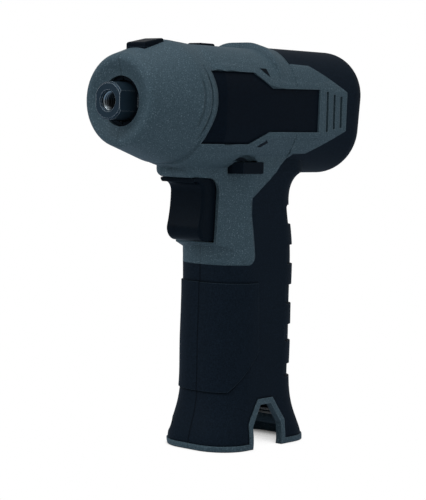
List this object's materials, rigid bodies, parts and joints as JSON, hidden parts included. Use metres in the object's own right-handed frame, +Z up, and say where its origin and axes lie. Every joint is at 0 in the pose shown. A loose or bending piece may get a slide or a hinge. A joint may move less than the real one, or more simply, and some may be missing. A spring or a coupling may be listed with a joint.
{
  "type": "cordless polisher",
  "caption": "Pistol-grip cordless polisher with a round nose, threaded spindle, planetary gear motor, trigger and an open battery socket in the handle.",
  "frame": {"origin": "on the table under the middle of the tool's bounding box, the tool standing on its foot", "axes": "+Z up, -Y out of the nose along the spindle, +X to the user's left"},
  "size_m": [0.0528, 0.1524, 0.181],
  "materials": {
    "housing_plastic": "fine spark-eroded grain, moulded glass-filled nylon",
    "overmould_rubber": "soft matte elastomer, overmoulded",
    "panel_plastic": "smooth satin inlay",
    "black_plastic": "satin moulded plastic",
    "screw_steel": "black oxide",
    "spindle_steel": "turned and blackened, bright at the edges",
    "bearing_steel": "ground",
    "gear_steel": "pressed and sintered",
    "cast_aluminium": "die cast",
    "plated_steel": "zinc plated, deep drawn",
    "ferrite": "sintered",
    "core_steel": "stacked laminations, varnished",
    "copper_alloy": "rolled",
    "sintered_bronze": "sintered",
    "inner_plastic": "moulded",
    "board_laminate": "glass laminate with solder mask"
  },
  "bodies": {
    "housing": {"left_housing": "housing_plastic", "right_housing": "housing_plastic", "left_grip": "overmould_rubber", "right_grip": "overmould_rubber", "left_side_panel": "panel_plastic", "right_side_panel": "panel_plastic", "housing_screw_1": "screw_steel", "housing_screw_2": "screw_steel", "housing_screw_3": "screw_steel", "housing_screw_4": "screw_steel", "housing_screw_5": "screw_steel", "housing_screw_6": "screw_steel", "housing_screw_7": "screw_steel", "dust_ring": "black_plastic", "gear_case": "cast_aluminium", "front_bearing_outer": "bearing_steel", "ring_gear": "gear_steel", "motor_plate": "cast_aluminium", "motor_can": "plated_steel", "magnet_1": "ferrite", "magnet_2": "ferrite", "end_bell": "inner_plastic", "rear_bushing": "sintered_bronze", "brush_1": "inner_plastic", "brush_2": "inner_plastic", "control_board": "board_laminate", "heat_sink": "cast_aluminium", "switch_body": "inner_plastic", "speed_switch": "inner_plastic", "terminal_block": "inner_plastic", "terminal_1": "copper_alloy", "terminal_2": "copper_alloy", "terminal_3": "copper_alloy"},
    "spindle": {"spindle": "spindle_steel", "front_bearing_inner": "bearing_steel", "planet_carrier": "gear_steel", "planet_pin_1": "bearing_steel", "planet_pin_2": "bearing_steel", "planet_pin_3": "bearing_steel"},
    "planet_1": {"planet_gear_1": "gear_steel"},
    "planet_2": {"planet_gear_2": "gear_steel"},
    "planet_3": {"planet_gear_3": "gear_steel"},
    "rotor": {"motor_shaft": "bearing_steel", "motor_pinion": "gear_steel", "armature": "core_steel", "commutator": "copper_alloy", "cooling_fan": "inner_plastic"},
    "trigger": {"trigger": "black_plastic"},
    "selector": {"selector_bar": "black_plastic"},
    "spindle_lock": {"lock_button": "black_plastic", "lock_pin": "bearing_steel"},
    "speed_key": {"speed_button": "black_plastic"}
  },
  "joints": [
    {"name": "spindle_spin", "type": "hinge", "parent": "housing", "child": "spindle", "pos_m": [0, -0.0762, 0.1528], "axis": [0, -1, 0], "continuous": true},
    {"name": "planet_1_spin", "type": "hinge", "parent": "spindle", "child": "planet_1", "pos_m": [0.01013, -0.035, 0.1528], "axis": [0, -1, 0], "continuous": true},
    {"name": "planet_2_spin", "type": "hinge", "parent": "spindle", "child": "planet_2", "pos_m": [-0.00506, -0.035, 0.16157], "axis": [0, -1, 0], "continuous": true},
    {"name": "planet_3_spin", "type": "hinge", "parent": "spindle", "child": "planet_3", "pos_m": [-0.00506, -0.035, 0.14403], "axis": [0, -1, 0], "continuous": true},
    {"name": "rotor_spin", "type": "hinge", "parent": "housing", "child": "rotor", "pos_m": [0, 0, 0.1528], "axis": [0, -1, 0], "continuous": true},
    {"name": "trigger_pull", "type": "slide", "parent": "housing", "child": "trigger", "axis": [0, 1, 0], "range_m": [0, 0.006], "stiffness_N_per_m": 1000, "springref_m": -0.002},
    {"name": "selector_push", "type": "slide", "parent": "housing", "child": "selector", "axis": [-1, 0, 0], "range_m": [0, 0.008]},
    {"name": "lock_press", "type": "slide", "parent": "housing", "child": "spindle_lock", "axis": [0, 0, -1], "range_m": [0, 0.0024], "stiffness_N_per_m": 800, "springref_m": -0.001},
    {"name": "speed_press", "type": "slide", "parent": "housing", "child": "speed_key", "axis": [0, 0, -1], "range_m": [0, 0.0008], "stiffness_N_per_m": 1500, "springref_m": -0.0005}
  ],
  "couplings": [
    {"joint": "planet_1_spin", "follows": "spindle_spin", "ratio": -2.8},
    {"joint": "planet_2_spin", "follows": "spindle_spin", "ratio": -2.8},
    {"joint": "planet_3_spin", "follows": "spindle_spin", "ratio": -2.8},
    {"joint": "rotor_spin", "follows": "spindle_spin", "ratio": 4.5}
  ]
}
